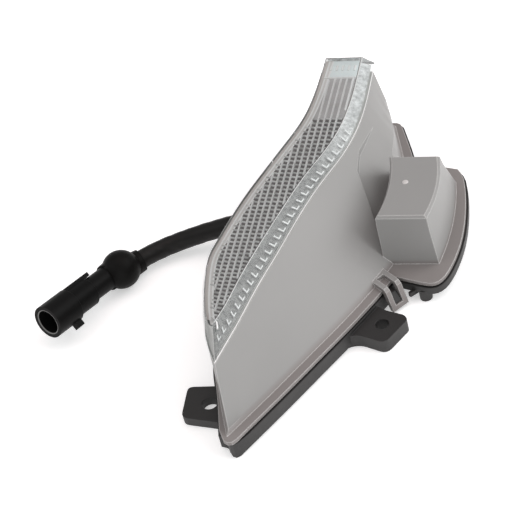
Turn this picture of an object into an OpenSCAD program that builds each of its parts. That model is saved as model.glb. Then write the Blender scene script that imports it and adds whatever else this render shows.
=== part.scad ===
// Front corner lamp of a vehicle's headlight set: a grey moulded body on a black back plate,
// a clear ribbed lens on top, and a short lead in a sleeve with a round socket on its end.
// The lamp lies on its back plate. The origin is the near bolt hole, at the plate's underside.
// X runs across the lamp, Y runs from its nose to its far end, and Z is up.

/* [Body] */
// Length of the grey body along the floor, from its nose to its far end
body_l = 220; // [212:1:228]
// Height of the body's wall, from the flange's underside to the lens joint
wall_h = 41.4; // [38:0.2:46]
// Wall thickness of the body
wall_t = 2.4; // [2:0.1:2.8]
// Thickness of the foot flange
flange_t = 2; // [1.6:0.1:2.6]
// Reach of the foot flange on the side that shows
flange_w = 6.2; // [5:0.1:7.5]
// Reach of the foot flange on the back side
flange_back_w = 2.6; // [2.2:0.1:4]

/* [Lens] */
// Rise of the lens above its joint with the body
lens_h = 6; // [5:0.2:9]
// Thickness of the clear lens
lens_t = 2; // [1.6:0.1:2.4]
// Distance by which the lens runs past the body's far wall
lens_over = 5.5; // [2:0.5:8]
// Thickness of the sealing bead under the lens
bead_t = 0.6; // [0.4:0.1:1]
// Pitch of the long flutes inside the lens
flute_pitch = 2.8; // [2.4:0.1:4]
// Depth of the flutes
flute_depth = 0.9; // [0.5:0.1:1.2]

/* [Tower] */
// Height of the tower's top above the floor
tower_top = 44; // [40:0.5:47]
// Width of the tower's top, across the lamp
tower_w = 26; // [24:0.5:28]
// Length of the tower's top, along the lamp
tower_l = 46; // [42:0.5:50]
// Sideways bow of the tower's long walls
tower_bow = 2.8; // [1.5:0.1:4]

/* [Back plate] */
// Height of the back plate's rim above the floor
plate_h = 9.5; // [9:0.25:12]
// Depth of the recess under the plate's web
recess = 3.5; // [3:0.1:3.8]
// Thickness of the plate's web
web_t = 3; // [2.4:0.1:3.6]
// Width of the plate's rim
rim_t = 5; // [4:0.1:6]
// Ledge of the plate beyond the body's flange
ledge = 1; // [0.8:0.1:1.5]
// Thickness of the raised lobe under the tower
lobe_t = 4; // [3.4:0.1:5]
// Diameter of the locating peg under the lobe
peg_d = 6.5; // [5:0.5:8]
// Thickness of the near ear
ear_near_t = 5; // [4:0.5:7]
// Thickness of the side ear
ear_side_t = 7.5; // [6:0.5:9]
// Diameter of the near ear's bolt hole
near_hole_d = 8; // [6:0.1:9]
// Diameter of the side ear's bolt hole
side_hole_d = 7; // [6:0.1:8]

/* [Latch hoop] */
// Width of the hoop that snaps over the plate's catch
hoop_w = 10; // [9.5:0.1:10.5]
// Width of the hoop's window
hoop_window = 4.6; // [4.2:0.1:5]
// Thickness of the hoop's straps
hoop_t = 2.4; // [2:0.1:2.4]
// Reach of the hoop out from the body's foot
hoop_reach = 13.5; // [13.5:0.1:14.2]

/* [Fasteners and seals] */
// Diameter of the screws that hold the plate and the boards
screw_d = 3; // [2.6:0.1:3.2]
// Length of the plate screws under their heads
plate_screw_l = 14; // [13.5:0.5:15]
// Diameter of the screw heads
head_d = 6; // [5.4:0.1:6.4]
// Height of the screw heads
head_h = 2.2; // [1.6:0.1:2.6]
// Thickness of the gasket between plate and flange
gasket_t = 0.5; // [0.4:0.1:1]
// Running clearance round shanks and between loose fits
fit = 0.1; // [0.05:0.05:0.2]

/* [Light unit] */
// Height of the light board's posts above the plate's web
post_h = 19.5; // [18:0.5:20.5]
// Thickness of the aluminium heat spreader
spreader_t = 2; // [1.5:0.1:2.5]
// Thickness of the circuit boards
board_t = 1.6; // [1:0.1:2]
// Number of light diodes on the board
led_count = 8; // [6:1:10]
// Edge length of one light diode
led_w = 5; // [3:0.5:5]
// Height of one light diode
led_h = 1.4; // [1:0.1:2]
// Thickness of the reflector's walls
reflector_t = 1.2; // [1:0.1:1.6]
// Height of the driver board above the plate's lobe
driver_lift = 8; // [6:0.5:10]

/* [Lead and connector] */
// Diameter of the sleeve round the lead
sleeve_d = 10; // [9:0.5:10]
// Height of the lead's exit above the floor
exit_z = 17; // [16.5:0.25:19]
// Outer diameter of the connector's shell
shell_d = 18; // [17:0.25:19]
// Length of the connector's shell
shell_l = 31; // [30:0.5:33]
// Inner diameter of the connector's socket
socket_d = 14; // [13:0.25:14.5]
// Depth of the connector's socket
socket_depth = 16; // [15:0.5:16.5]
// Diameter of the barrel behind the shell
barrel_d = 12.6; // [11.5:0.1:13.5]
// Diameter of the boot's bulge
boot_d = 20.4; // [18:0.2:21]
// Diameter of one contact pin
pin_d = 1.6; // [1.2:0.1:2]

/* [Hidden] */

// Heights that follow from the sizes above
flange_z = plate_h + gasket_t;
joint_z = flange_z + wall_h;
lens_z = joint_z + bead_t;
face_z = lens_z + lens_h;
waist_z = flange_z + wall_h * 0.53;
web_top = recess + web_t;
lobe_z = plate_h - lobe_t;
post_z = web_top + post_h;
board_z = post_z + spreader_t;
light_z = board_z + board_t;
cut = 1;

// Stretch along Y that gives the body its length, measured from the nose
nose_y = -25;
drawn_l = 220;
function run_y(y) = nose_y + (y - nose_y) * body_l / drawn_l;
function run(pts) = [for (p = pts) [p[0], run_y(p[1])]];

// Plan outlines, each the side that shows from nose to far end, then the back side to the nose
side_n = 9;
foot = run([[16.5, -25], [31.5, 1], [46.5, 28], [62, 56.5], [76, 87], [81, 108], [79, 140],
    [70, 170], [62, 195], [31, 195], [30, 170], [26.5, 148], [18, 122], [8, 92],
    [1.5, 64], [-2, 45], [2, 20], [9, -4]]);
waist = run([[16.5, -22], [27, 3], [37, 30], [47.5, 57], [57.5, 85], [63.5, 106], [70, 137],
    [70, 166], [61, 195], [31, 195], [30, 170], [26.5, 148], [18, 122], [8, 92],
    [1.5, 64], [-1.8, 45], [2, 20], [9, -4]]);
joint = run([[16.5, -18.5], [22, 6], [27, 32], [33, 57.5], [38.7, 83], [44.5, 104], [54, 132],
    [58, 160], [57.5, 194.5], [30.5, 194.5], [29.5, 170], [26, 148], [17.5, 122], [8, 92],
    [1.2, 64], [-1.5, 45], [2.2, 20], [9, -3]]);
face = run([[12.5, 0], [16.5, 14], [20.5, 36], [25.8, 59], [32, 83], [38, 104], [48.5, 134],
    [52.5, 162], [52.5, 194.5], [32, 194.5], [31, 169.5], [27.8, 147.5], [19.2, 121], [9.5, 91.5],
    [2.8, 63.5], [0.2, 46], [3.6, 22], [8.5, 4]]);
// Outline of the light chamber at its top, the side that shows and then the back side
chamber_n = 8;
chamber = run([[15, 8], [22.5, 32], [28.5, 57.5], [34.2, 83], [40, 104], [49.5, 132],
    [53, 160], [52.5, 189], [35, 189], [33.8, 165], [29.5, 143], [20.5, 116], [11.5, 87],
    [5.2, 60], [4.6, 38], [9, 10]]);
// Outline of the flange's lobe round the tower
lobe_edge = run([[84, 80], [92, 77.6], [100, 76], [105, 79.5], [108.4, 89], [110.6, 104],
    [110.7, 120], [108.7, 139], [105.5, 154], [101.5, 161]]);
lobe_root = run([[72, 168], [66, 140], [66, 100], [74, 82]]);

// Corners of the ears and places of their holes
side_hole = [78, run_y(52)];
near_ear = [[-13.5, 10.8, 3], [12, 12, 0], [14, -13.5, 0], [-12.5, -9.5, 3.5]];
side_ear = [[46, run_y(16), 0], [61, run_y(43), 3], [67.5, run_y(44.5), 3], [81.5, run_y(39), 4],
    [90.5, run_y(55.5), 2], [88, run_y(58.5), 1.2], [78.5, run_y(61.5), 1.5], [71, run_y(66), 0],
    [60, run_y(62), 0]];

// Places of the screws, posts and other small pieces in plan
plate_screw_at = run([[17.5, -12], [42.3, 38], [66, 92], [54, 190], [38, 190], [10, 76]]);
vent_at = [28, run_y(108)];
driver_at = [89.6, run_y(113)];
driver_size = [18, 34];
driver_posts = [[0, -13], [0, 13]];

// Tower's corner by the latch, and its place in plan
tower_x = 74;
tower_y = run_y(90);
tower_foot_w = 28;
tower_foot_back = 16;

// Latch hoop: its middle at the body's foot, its turn in plan, its fall, and the height of its catch
hoop_at = [70.7, run_y(81)];
hoop_turn = -40;
hoop_drop = 1.5;
hoop_splay = 4;
catch_z = 4.6;
finger = run([[87.4, 75.4], [88.6, 74.2], [93, 78.6], [92, 80.6]]);

// Frame of the lead's end: the centre of the shell's mouth, its axis turned in plan and its fall
mouth = [-92.1, 42.5, 17.9];
mouth_turn = 64;
mouth_fall = 10;
boot_from = shell_l + 14.5;
// Length of the shell's wide front part, and the angle of the key rib round its axis
front_l = 17;
key_turn = 42;
key_l = 34;
// Bulge of the boot: its place along the axis, and its shift to the side
bulge_at = 8;
bulge_side = -3;
exit_x = 8;
exit_y = run_y(117);

// Route of the sleeve from the gland to the boot, and its direction in plan where it ends
sleeve_route = [[8, 117, 17], [2, 117, 17], [-4, 117, 16.4], [-10, 116.9, 15.2], [-16, 116.6, 13.6],
    [-22, 116.1, 11.9], [-28, 115.4, 10.3], [-34, 114.1, 8.9], [-40, 112.1, 7.9], [-45.5, 109.5, 7.3],
    [-50.5, 106.3, 7.1], [-54.9, 102.6, 7.2], [-58.5, 99, 7.2]];
neck_turn = 45;
neck_l = 10;

// Catmull-Rom point between b and c at share t
function between(a, b, c, d, t) = 0.5 * ((2 * b) + (c - a) * t
    + (2 * a - 5 * b + 4 * c - d) * t * t + (3 * b - a - 3 * c + d) * t * t * t);
// Smooth open curve through hand-placed points, with n steps a span
curve_n = 4;
function curve(p, n = curve_n) = let(e = len(p) - 1)
    [for (i = [0:e - 1]) for (j = [0:n - 1])
        between(p[max(i - 1, 0)], p[i], p[i + 1], p[min(i + 2, e)], j / n), p[e]];
// Index of the last point on an outline's first side
body_far = (side_n - 1) * curve_n;
chamber_far = (chamber_n - 1) * curve_n;
// Closed outline from one side's points and the other side's, with corners where they meet
function part_of(p, a, b) = [for (i = [a:b]) p[i % len(p)]];
function all_but_last(p) = [for (i = [0:len(p) - 2]) p[i]];
function ring(p, k = side_n) =
    concat(curve(part_of(p, 0, k - 1)), all_but_last(curve(part_of(p, k, len(p)))));

function unit(v) = v / norm(v);
function right_of(a, b) = let(d = unit(b - a)) [d[1], -d[0]];
// Moves a closed outline outward by w, a number or one number a point
function outset(p, w) = let(n = len(p))
    [for (i = [0:n - 1])
        let(e = right_of(p[(i + n - 1) % n], p[i]), f = right_of(p[i], p[(i + 1) % n]),
            m = unit(e + f), d = is_list(w) ? w[i] : w)
        p[i] + m * d / max(m * e, 0.35)];
// Draws the two sides of an outline together, to a share of its width
function narrowed(p, share) = let(n = len(p))
    [for (i = [0:n - 1]) let(mid = (p[i] + p[n - 1 - i]) / 2) mid + (p[i] - mid) * share];
// Round corner at b, from r before it to r after it
function bend(a, b, c, r) = [for (t = [0:0.25:1])
    b + (1 - t) * (1 - t) * r * unit(a - b) + t * t * r * unit(c - b)];
// Polygon with round corners from points of [x, y, radius]
function flat(q) = [q[0], q[1]];
function rounded(p) = let(n = len(p))
    [for (i = [0:n - 1]) each p[i][2] == 0 ? [flat(p[i])]
        : bend(flat(p[(i + n - 1) % n]), flat(p[i]), flat(p[(i + 1) % n]), p[i][2])];

// Triangles that close an outline: a ladder between its two sides, then a fan at its far end
function cap(m, far) = concat(
    [for (j = [0:far - 1]) [j, j + 1, m - j - 1]],
    [for (j = [1:far - 1]) [j, m - j - 1, m - j]],
    [for (i = [far + 1:m - far - 2]) [far, i, i + 1]], [[far, m - far - 1, m - far]]);
// Closed solid through outlines of equal counts at given heights; far is the last point of the
// outlines' first side
module loft(rings, heights, far) {
    m = len(rings[0]);
    last = len(rings) - 1;
    points = [for (i = [0:last]) for (p = rings[i]) [p[0], p[1], heights[i]]];
    sides = [for (i = [0:last - 1]) for (j = [0:m - 1])
        let(a = i * m + j, b = i * m + (j + 1) % m, c = b + m, d = a + m)
        each [[a, d, c], [a, c, b]]];
    floor_faces = cap(m, far);
    top_faces = [for (t = floor_faces) [t[2] + last * m, t[1] + last * m, t[0] + last * m]];
    polyhedron(points, concat(floor_faces, sides, top_faces));
}

// Flange outline without the lobe: a wide reach where it shows, a narrow one behind
flange_reach = [for (i = [0:len(foot) - 1])
    i < side_n - 1 ? flange_w : i == side_n - 1 ? flange_w * 0.7 : flange_back_w];
nose = run([[13.4, -27.6], [14.9, -30.4], [17, -31.7], [19.3, -31.4], [21.2, -29.4]]);
nose_centre = run([[17.5, -24]])[0];
nose_ledge = 0.2;
// Set-back of the plate's edge under the nose, and the rebate along the plate's foot
nose_back = [2.4, 2.2, 1.6, 0.6, 0];
rebate = 1.2;
rebate_h = 1.6;
far_r = 3.6;
function flange_ring(extra, back = 0) = let(p = ring(outset(foot, [for (w = flange_reach) w + extra])),
    far = body_far, n = len(p), grow = min(extra, 0) + nose_ledge * max(extra, 0))
    concat([for (i = [0:len(nose) - 1])
        nose[i] + (grow - back * nose_back[i]) * unit(nose[i] - nose_centre)], part_of(p, 2, far - 1),
        bend(p[far - 1], p[far], p[far + 1], far_r),
        bend(p[far], p[far + 1], p[far + 2], far_r), part_of(p, far + 2, n - 2));
function lobe_ring(extra) = outset(concat(curve(lobe_edge, 3), lobe_root), extra);

module slab(outline, z, h) {
    translate([0, 0, z]) linear_extrude(h) polygon(outline);
}

module post(at, r, z, h) {
    translate([at[0], at[1], z]) cylinder(h = h, r = r, $fn = 32);
}

// Black back plate

// Wedge on the plate's edge that the hoop's window snaps over
module catch() {
    wide = hoop_window - 0.8;
    on_hoop() rotate([90, 0, 0]) translate([0, 0, -wide / 2]) linear_extrude(wide)
        polygon([[8, catch_z], [8, plate_h], [hoop_reach - 0.5, plate_h], [hoop_reach + 2.6, catch_z]]);
}

module back_plate() {
    color([0.16, 0.15, 0.15]) {
        difference() {
            union() {
                slab(flange_ring(ledge - rebate, 1), 0, plate_h);
                slab(flange_ring(ledge, 1), rebate_h, plate_h - rebate_h);
                slab(lobe_ring(ledge), lobe_z, lobe_t);
                slab(rounded(near_ear), 0, ear_near_t);
                slab(rounded(side_ear), 0, ear_side_t);
                translate([95.3, run_y(78.6), 0]) cylinder(h = lobe_z + cut, d = peg_d, $fn = 32);
                catch();
                slab(finger, lobe_z - 1.5, 2.5);
            }
            slab(flange_ring(ledge - rim_t), -cut, recess + cut);
            slab(flange_ring(ledge - rim_t), web_top, plate_h);
            for (p = plate_screw_at) post(p, screw_d / 2 + fit, recess - cut, web_t + 2 * cut);
            post([0, 0], near_hole_d / 2, -cut, ear_near_t + 2 * cut);
            post(side_hole, side_hole_d / 2, -cut, ear_side_t + 2 * cut);
            post(vent_at, 2.5, recess - cut, web_t + 2 * cut);
        }
        for (p = post_at) difference() {
            post(p, 4, web_top, post_h);
            post(p, screw_d / 2 + fit, post_z - board_screw_l, board_screw_l + cut);
        }
        translate([driver_at[0], driver_at[1], 0]) for (p = driver_posts) difference() {
            post(p, 3, plate_h, driver_lift);
            post(p, screw_d / 2 + fit, plate_h + 1, driver_lift);
        }
    }
}

// Flat gasket between the plate and the flange

module plate_gasket() {
    color([0.1, 0.1, 0.1]) difference() {
        union() {
            slab(flange_ring(-0.5), plate_h, gasket_t);
            slab(lobe_ring(-0.5), plate_h, gasket_t);
        }
        slab(flange_ring(ledge - rim_t), plate_h - cut, gasket_t + 2 * cut);
        slab(lobe_ring(ledge - rim_t), plate_h - cut, gasket_t + 2 * cut);
    }
}

// Pan-head screw, head down, with its shank up from the seat at z

module screw(at, seat_z, length) {
    post(at, head_d / 2, seat_z - head_h, head_h);
    post(at, screw_d / 2, seat_z, length);
}

module plate_screws() {
    color("silver") for (p = plate_screw_at) screw(p, recess, plate_screw_l);
}

module vent_cap() {
    color([0.2, 0.2, 0.2]) {
        post(vent_at, 6, recess - 3, 3);
        post(vent_at, 2.5 - fit, recess, web_t);
    }
}

// Grey body

// Outline of the tower at one level, grown by extra: straight ends and bowed long sides
function tower_ring(w, l, extra) = let(y0 = tower_y - extra, y1 = tower_y + l + extra)
    concat([for (t = [0:0.125:1])
            [tower_x + w + extra + tower_bow * 4 * t * (1 - t), y0 + (y1 - y0) * t]],
        [for (t = [1:-0.125:0])
            [tower_x - extra + tower_bow * 4 * t * (1 - t), y0 + (y1 - y0) * t]]);

// Tower's solid: a drafted box whose far wall leans in and whose top edges are softened
module tower(extra, z0, top) {
    loft([
        tower_ring(tower_foot_w, tower_l + tower_foot_back, extra),
        tower_ring(tower_w + 0.3, tower_l + 3, extra),
        tower_ring(tower_w, tower_l, extra),
        tower_ring(tower_w, tower_l, extra - 1.2)],
        [z0, top - 9, top - 1.2, top], 8);
}

// Facet that the moulding has beside the tower, as a cutter grown by extra
facet_edge = run([[110, 92], [110, 168], [64, 168], [60.5, 147], [58.6, 137], [59, 126],
    [66, 112], [75, 92]]);
facet_point = [58.8, run_y(128), flange_z + wall_h * 0.73];
facet_low = flange_z + 8;
module facet(extra) {
    intersection() {
        slab(outset(facet_edge, extra), facet_low - extra, wall_h);
        translate(facet_point) rotate([0, -35.5, -12.7]) translate([-extra, -80, -80]) cube(160);
    }
}

// Wall as a closed solid, its outline grown by extra
module wall_solid(extra, z0, z1) {
    loft([ring(outset(foot, extra + 1.3)), ring(outset(foot, extra + 1.3)), ring(outset(foot, extra)),
            ring(outset(waist, extra)), ring(outset(joint, extra))],
        [z0, flange_z + flange_t, flange_z + flange_t + 2, waist_z, z1], body_far);
}

// Puts what it holds at the hoop: X runs out from the body there
module on_hoop() {
    translate([hoop_at[0], hoop_at[1], 0]) rotate([0, 0, hoop_turn]) children();
}

// Hoop that snaps over the plate: out over the flange, down past its edge, with one long window
module hoop() {
    top = flange_z + flange_t + hoop_t;
    drop = top - hoop_drop;
    on_hoop() difference() {
        rotate([90, 0, 0]) translate([0, 0, -hoop_w / 2]) linear_extrude(hoop_w)
            polygon([[-4, top - hoop_t], [hoop_reach - hoop_t, top - hoop_t],
                [hoop_reach - hoop_t + hoop_splay, hoop_drop], [hoop_reach + hoop_splay, hoop_drop],
                [hoop_reach + 0.6, top - 1.6], [hoop_reach - 1, top], [-4, top]]);
        translate([4, -hoop_window / 2, hoop_drop + hoop_t]) cube([20, hoop_window, drop]);
    }
}

boss_r = screw_d / 2 + 2.4;
boss_h = plate_screw_l - web_t + 2;
module housing() {
    top = joint_z;
    color([0.68, 0.68, 0.67]) {
        difference() {
            union() {
                difference() {
                    union() {
                        difference() {
                            wall_solid(0, flange_z, top);
                            facet(0);
                        }
                        slab(flange_ring(0), flange_z, flange_t);
                        slab(lobe_ring(0), flange_z, flange_t);
                        tower(0, flange_z, tower_top);
                    }
                    difference() {
                        wall_solid(-wall_t, flange_z - cut, top + cut);
                        facet(wall_t);
                    }
                    tower(-wall_t, flange_z - cut, tower_top - wall_t);
                }
                for (p = plate_screw_at) post(p, boss_r, web_top, boss_h);
                gland_boss(sleeve_d / 2 + 2);
            }
            lead_window();
            gland_boss(bore_outer);
            for (p = plate_screw_at) post(p, screw_d / 2 + fit, web_top - cut, boss_h - 1);
        }
        hoop();
    }
}

// Window between the body and the tower that the inner leads pass through
module lead_window() {
    translate([68, exit_y - 7, flange_z + flange_t]) cube([18, 10, facet_low - flange_z - flange_t - 1.6]);
}

// Bore for the gland through the back wall, square to X
bore_outer = sleeve_d / 2 + 0.6;
boss_l = 14;
module gland_boss(r) {
    translate([exit_x + 2, exit_y, exit_z]) rotate([0, 90, 0]) cylinder(h = boss_l, r = r, $fn = 40);
}

// Clear lens

// Lower outline of the lens: the body's joint, carried past the far wall
lens_low = [for (i = [0:len(joint) - 1])
    i == side_n - 1 || i == side_n ? joint[i] + [0, lens_over] : joint[i]];
lens_face = [for (i = [0:len(face) - 1])
    i == side_n - 1 || i == side_n ? face[i] + [0, lens_over - 1] : face[i]];

module lens_cover() {
    color([0.9, 0.93, 0.93, 0.5]) {
        difference() {
            loft([ring(lens_low), ring(lens_low), ring(lens_face)], [lens_z, lens_z + 1, face_z], body_far);
            loft([ring(outset(lens_low, -lens_t)), ring(outset(lens_low, -lens_t)),
                    ring(outset(lens_face, -lens_t))],
                [lens_z - cut, lens_z + 0.6, face_z - lens_t], body_far);
        }
        flutes();
    }
}

// Long flutes on the inside of the lens face
module flutes() {
    base = face_z - lens_t;
    intersection() {
        slab(ring(outset(lens_face, -lens_t - 0.4)), base - flute_depth, flute_depth + 0.2);
        for (x = [-2:flute_pitch:56]) translate([x, nose_y, base + 0.2]) rotate([-90, 0, 0])
            linear_extrude(body_l + lens_over + 20)
                polygon([[-flute_pitch / 2, 0], [0, flute_depth + 0.2], [flute_pitch / 2, 0]]);
    }
}

module lens_bead() {
    color([0.85, 0.85, 0.85]) difference() {
        slab(ring(outset(joint, -0.4)), joint_z, bead_t);
        slab(ring(outset(joint, -wall_t + 0.5)), joint_z - cut, bead_t + 2 * cut);
    }
}

// Light unit under the lens

function chamber_ring(share) = ring(narrowed(chamber, share), chamber_n);
// Middle of the chamber at a share of its length
function led_at(i) = let(show = curve(part_of(chamber, 0, chamber_n - 1)),
    back = curve(part_of(chamber, chamber_n, 2 * chamber_n - 1)), n = len(show) - 1,
    k = round(n * (i + 1) / (led_count + 0.6))) (show[k] + back[n - k]) / 2;
// The board's screws stand between diodes: near both ends and in the middle
post_at = [for (i = [0, floor(led_count / 2) - 1, led_count - 2]) (led_at(i) + led_at(i + 1)) / 2];
board_screw_l = 12;

module reflector() {
    floor_share = 0.66;
    color([0.62, 0.6, 0.57]) difference() {
        loft([chamber_ring(floor_share), chamber_ring(1)], [light_z, joint_z], chamber_far);
        loft([chamber_ring(floor_share - 0.14), chamber_ring(0.86), chamber_ring(0.86)],
            [light_z + reflector_t, joint_z, joint_z + cut], chamber_far);
        for (i = [0:led_count - 1]) post(led_at(i), led_w * 0.75, light_z - cut, reflector_t + 2 * cut);
        for (p = post_at) post(p, screw_d / 2 + fit, light_z - cut, reflector_t + 2 * cut);
    }
}

module heat_spreader() {
    color([0.75, 0.76, 0.78]) difference() {
        slab(chamber_ring(0.86), post_z, spreader_t);
        for (p = post_at) post(p, screw_d / 2 + fit, post_z - cut, spreader_t + 2 * cut);
    }
}

module led_board() {
    color([0.12, 0.36, 0.22]) difference() {
        slab(chamber_ring(0.82), board_z, board_t);
        for (p = post_at) post(p, screw_d / 2 + fit, board_z - cut, board_t + 2 * cut);
    }
}

module leds() {
    color([0.95, 0.85, 0.45]) for (i = [0:led_count - 1]) {
        at = led_at(i);
        translate([at[0] - led_w / 2, at[1] - led_w / 2, light_z]) cube([led_w, led_w, led_h]);
    }
}

// Screws that hold the light board down on the plate's posts
module board_screws() {
    color("silver") for (p = post_at) {
        post(p, head_d / 2, light_z + reflector_t, head_h);
        post(p, screw_d / 2, post_z - board_screw_l + 1, light_z + reflector_t - post_z + board_screw_l - 1);
    }
}

// Driver board in the tower
driver_z = plate_h + driver_lift;
module on_driver() {
    translate([driver_at[0], driver_at[1], driver_z]) children();
}

module driver_board() {
    color([0.12, 0.36, 0.22]) on_driver() difference() {
        translate([-driver_size[0] / 2, -driver_size[1] / 2, 0])
            cube([driver_size[0], driver_size[1], board_t]);
        for (p = driver_posts) post(p, screw_d / 2 + fit, -cut, board_t + 2 * cut);
    }
}

module driver_parts() {
    color([0.2, 0.2, 0.22]) on_driver() translate([0, 0, board_t]) {
        translate([-4, -6, 0]) cylinder(h = 12, d = 8, $fn = 32);
        translate([-4, 4, 0]) cylinder(h = 6, d = 7, $fn = 32);
        translate([1.5, -9, 0]) cube([6, 8, 2.4]);
        translate([2, 2, 0]) cube([6, 7, 4]);
    }
}

module driver_screws() {
    color("silver") on_driver() for (p = driver_posts) {
        post(p, head_d / 2 - 0.4, board_t, head_h);
        post(p, screw_d / 2, board_t - 7, 7);
    }
}

// Lead: gland, sleeve, boot and connector

// Two wires from the sleeve's end, through the gland and over to the driver board's underside
module inner_leads() {
    color([0.6, 0.1, 0.1]) for (k = [-1, 1]) tube([for (p = [[exit_x, 0, exit_z],
            [exit_x + 24, 0, exit_z], [exit_x + 34, 0, exit_z - 2], [64, -1, exit_z - 3.6],
            [76, -2, exit_z - 3.6], [82, -2, driver_z - 2], [85, -2, driver_z - 0.8],
            [90, -2, driver_z - 0.8]]) [p[0], exit_y + p[1] + k * 1.5, p[2]]], 0.8, 8);
}

module cable_gland() {
    color([0.1, 0.1, 0.1]) difference() {
        union() {
            translate([exit_x, exit_y, exit_z]) rotate([0, 90, 0])
                cylinder(h = 2, r = bore_outer + 1.8, $fn = 40);
            translate([exit_x + 2, exit_y, exit_z]) rotate([0, 90, 0])
                cylinder(h = boss_l + 1, r = bore_outer - fit / 2, $fn = 40);
        }
        for (k = [-1, 1]) translate([exit_x - cut, exit_y + k * 1.5, exit_z]) rotate([0, 90, 0])
            cylinder(h = boss_l + 6, r = 0.85, $fn = 16);
    }
}

// Sweeps a round tube along the route, with one ring of corners at each point
module tube(route, r, sides) {
    n = len(route);
    function way(i) = unit(route[min(i + 1, n - 1)] - route[max(i - 1, 0)]);
    function side_of(i) = unit(cross(way(i), [0, 0, 1]));
    points = [for (i = [0:n - 1]) let(s = side_of(i), u = cross(s, way(i)))
        for (k = [0:sides - 1]) route[i] + r * (cos(360 * k / sides) * s + sin(360 * k / sides) * u)];
    walls = [for (i = [0:n - 2]) for (k = [0:sides - 1])
        let(a = i * sides + k, b = i * sides + (k + 1) % sides, c = b + sides, d = a + sides)
        each [[a, b, c], [a, c, d]]];
    start = [for (k = [sides - 1:-1:0]) k];
    end = [for (k = [0:sides - 1]) (n - 1) * sides + k];
    polyhedron(points, concat([start], walls, [end]));
}

module cable_sleeve() {
    color([0.1, 0.1, 0.1]) tube(sleeve_route, sleeve_d / 2, 12);
}

// Puts what it holds on the connector's axis: X runs from the mouth towards the boot
module on_lead() {
    translate(mouth) rotate([0, mouth_fall, mouth_turn]) children();
}

module along(x, h, r1, r2) {
    translate([x, 0, 0]) rotate([0, 90, 0]) cylinder(h = h, r1 = r1, r2 = r2, $fn = 40);
}

module cable_boot() {
    lift = (boot_d / 2 - mouth[2] + sin(mouth_fall) * (boot_from + bulge_at)) / cos(mouth_fall) + fit;
    color([0.1, 0.1, 0.1]) {
        on_lead() difference() {
            translate([boot_from, 0, 0]) {
                along(0, 6, barrel_d / 2 + 1, boot_d / 2 - 2.5);
                translate([bulge_at, bulge_side, lift]) sphere(d = boot_d, $fn = 48);
            }
            along(boot_from - 4, 8, barrel_d / 2, barrel_d / 2);
        }
        translate(sleeve_route[len(sleeve_route) - 1]) rotate([0, 0, neck_turn])
            along(-neck_l, neck_l, sleeve_d / 2 + 2, sleeve_d / 2 + 1);
    }
}

module connector_barrel() {
    color([0.1, 0.1, 0.1]) on_lead() {
        along(shell_l, boot_from + 4 - shell_l, barrel_d / 2, barrel_d / 2);
        along(shell_l - 5, 5, barrel_d / 2 - 1.6, barrel_d / 2 - 1.6);
    }
}

module connector_shell() {
    color([0.1, 0.1, 0.1]) on_lead() difference() {
        union() {
            along(0, front_l, shell_d / 2, shell_d / 2);
            along(0, shell_l, shell_d / 2 - 1.4, shell_d / 2 - 1.4);
            rotate([key_turn, 0, 0]) translate([2, barrel_d / 2 + fit, -3.2])
                cube([key_l, shell_d / 2 - barrel_d / 2 - 0.6, 6.4]);
            rotate([key_turn + 180, 0, 0]) translate([11.5, shell_d / 2 - 1.5, -2]) cube([4.2, 4.4, 4]);
        }
        along(-cut, socket_depth + cut, socket_d / 2, socket_d / 2);
        along(shell_l - 5, 5 + cut, barrel_d / 2 - 1.6, barrel_d / 2 - 1.6);
        along(socket_depth - cut, shell_l, 4, 4);
    }
}

module pin_holder() {
    color([0.3, 0.3, 0.3]) on_lead() difference() {
        along(socket_depth - 3, shell_l - 5 - socket_depth + 3, 4 - fit, 4 - fit);
        for (k = [-1, 1]) translate([0, k * 2.2, 0]) along(0, shell_l, pin_d / 2, pin_d / 2);
    }
}

module connector_pins() {
    color([0.8, 0.68, 0.35]) on_lead() for (k = [-1, 1]) translate([0, k * 2.2, 0])
        along(6, shell_l - 11, pin_d / 2, pin_d / 2);
}

module connector_seal() {
    color([0.75, 0.35, 0.15]) on_lead() difference() {
        along(socket_depth - 2, 2, socket_d / 2, socket_d / 2);
        along(socket_depth - 2 - cut, 2 + 2 * cut, 4, 4);
    }
}

back_plate();
plate_gasket();
plate_screws();
vent_cap();
housing();
lens_cover();
lens_bead();
reflector();
heat_spreader();
led_board();
leds();
board_screws();
driver_board();
driver_parts();
driver_screws();
inner_leads();
cable_gland();
cable_sleeve();
cable_boot();
connector_barrel();
connector_shell();
pin_holder();
connector_pins();
connector_seal();
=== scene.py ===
"""Looks of a vehicle's front corner lamp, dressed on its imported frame."""

import math

import bpy
from mathutils import Matrix, Vector


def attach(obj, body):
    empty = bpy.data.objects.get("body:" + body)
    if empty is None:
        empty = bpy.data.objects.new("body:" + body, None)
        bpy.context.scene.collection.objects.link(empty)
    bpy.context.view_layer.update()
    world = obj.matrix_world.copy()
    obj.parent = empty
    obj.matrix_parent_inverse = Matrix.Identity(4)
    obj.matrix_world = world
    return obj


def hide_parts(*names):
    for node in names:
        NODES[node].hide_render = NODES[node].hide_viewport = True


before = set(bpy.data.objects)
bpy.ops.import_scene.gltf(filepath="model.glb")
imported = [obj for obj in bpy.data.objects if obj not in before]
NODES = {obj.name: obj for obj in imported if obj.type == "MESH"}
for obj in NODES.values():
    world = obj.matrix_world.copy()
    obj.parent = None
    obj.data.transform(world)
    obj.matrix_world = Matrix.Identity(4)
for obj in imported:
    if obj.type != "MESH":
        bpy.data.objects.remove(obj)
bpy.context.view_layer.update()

# Lengths in the tables below are millimetres, unless a comment says otherwise
MM = 0.001
UP = Vector((0, 0, 1))


def add_object(name, data):
    obj = bpy.data.objects.new(name, data)
    bpy.context.scene.collection.objects.link(obj)
    return obj


# Camera: where the photograph was taken from, aimed so that the picture's middle is central

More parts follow.
